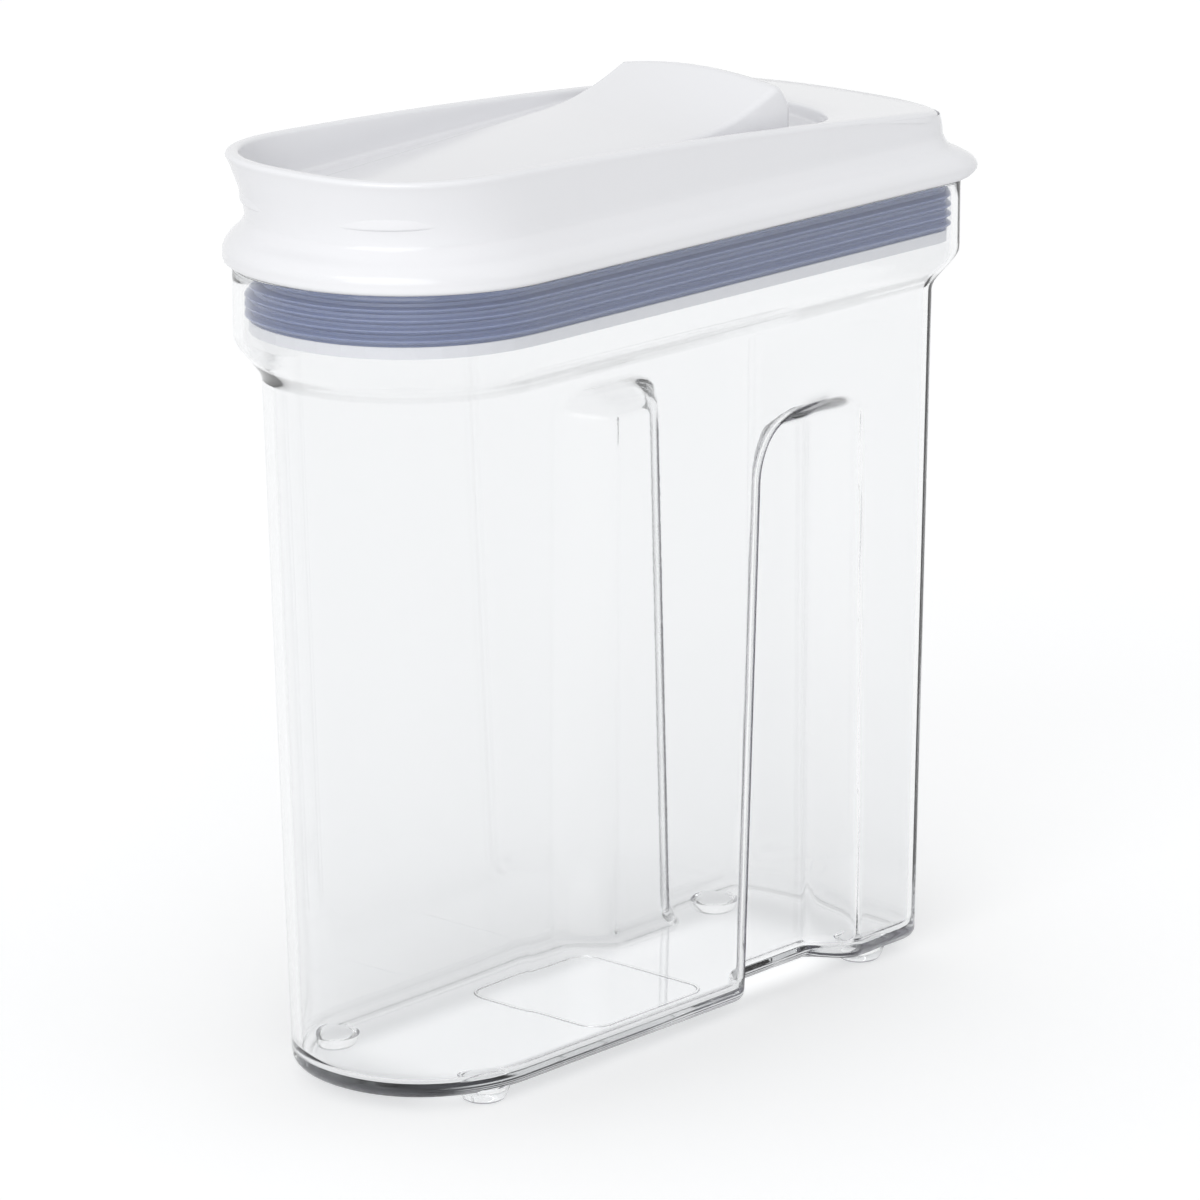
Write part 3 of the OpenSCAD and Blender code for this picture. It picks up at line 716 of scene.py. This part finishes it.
def seen_directly(tree):
    """1 for what the camera sees, also in gloss or through glass, and 0 for the light that falls on matte surfaces."""
    path = tree.nodes.new("ShaderNodeLightPath")
    seen = operate(tree, "ADD", path.outputs["Is Camera Ray"], path.outputs["Is Glossy Ray"])
    seen = operate(tree, "ADD", seen, path.outputs["Is Transmission Ray"], clamp=True)
    return operate(tree, "MULTIPLY", seen, operate(tree, "LESS_THAN", path.outputs["Diffuse Depth"], 0.5))


paper = bpy.data.materials.new("paper")
paper.use_nodes = True
tree = paper.node_tree
nodes, links = tree.nodes, tree.links
matte, glow, both = nodes["Principled BSDF"], nodes.new("ShaderNodeEmission"), nodes.new("ShaderNodeAddShader")
for label, value in (("Base Color", (0.8, 0.8, 0.8, 1)), ("Roughness", 0.9), ("Specular IOR Level", 0.0)):
    matte.inputs[label].default_value = value
# The paper reads white, with a painted pool of light under the clear base: extra glow in a soft patch about the size of
# the base.
seen, spot = seen_directly(tree), object_place(tree)
along, wide = (map_range(tree, operate(tree, "ABSOLUTE", spot[axis]), reach, (1.0, 0.0), soft=True)
               for axis, reach in (("X", (0.052, 0.073)), ("Y", (0.013, 0.023))))
painted_light_pool = operate(tree, "MULTIPLY", operate(tree, "MULTIPLY", along, wide), 0.36)
links.new(operate(tree, "MULTIPLY", seen, operate(tree, "ADD", painted_light_pool, 0.345)), glow.inputs["Strength"])
links.new(matte.outputs["BSDF"], both.inputs[0])
links.new(glow.outputs["Emission"], both.inputs[1])
links.new(both.outputs["Shader"], nodes["Material Output"].inputs["Surface"])
floor_mesh.materials.append(paper)

# The room's light is even. What the camera sees of it is white, and darker on the camera's own side.
world = bpy.data.worlds.new("room")
bpy.context.scene.world = world
world.use_nodes = True
world.cycles.sampling_method = "NONE"
tree = world.node_tree
nodes, links = tree.nodes, tree.links
room, white = nodes["Background"], nodes.new("ShaderNodeBackground")
room.inputs["Color"].default_value = (0.98, 0.99, 1.0, 1)
room.inputs["Strength"].default_value = 0.7
white.inputs["Color"].default_value = (1, 1, 1, 1)
place, side_of = nodes.new("ShaderNodeTexCoord"), nodes.new("ShaderNodeVectorMath")
side_of.operation = "DOT_PRODUCT"
side_of.inputs[1].default_value = (-0.74, -0.66, 0.1)
links.new(place.outputs["Generated"], side_of.inputs[0])
links.new(map_range(tree, side_of.outputs["Value"], (0.35, 0.95), (1.0, 0.42), soft=True), white.inputs["Strength"])
links.new(blended(tree, seen_directly(tree), room.outputs["Background"], white.outputs["Background"]),
          nodes["World Output"].inputs["Surface"])


def lamp(name, kind, toward_light, energy):
    data = bpy.data.lights.new(name, kind)
    data.energy = energy
    light = bpy.data.objects.new(name, data)
    light.rotation_euler = Vector(toward_light).to_track_quat("Z", "Y").to_euler()
    bpy.context.scene.collection.objects.link(light)
    return light


front_light = lamp("front_light", "AREA", (-1.1, -0.25, 0.78), 1.5)
front_light.location = (-1.1, -0.25, 0.9)
front_light.data.shape, front_light.data.size, front_light.data.size_y = "RECTANGLE", 0.9, 0.1
lamp("nose_light", "SUN", (-0.8, -0.48, 0.3), 1.35).data.angle = math.radians(60)
cycles = bpy.context.scene.cycles
cycles.max_bounces = cycles.transmission_bounces = 24
cycles.glossy_bounces = cycles.transparent_max_bounces = 16
bpy.context.scene.view_settings.view_transform = "Standard"
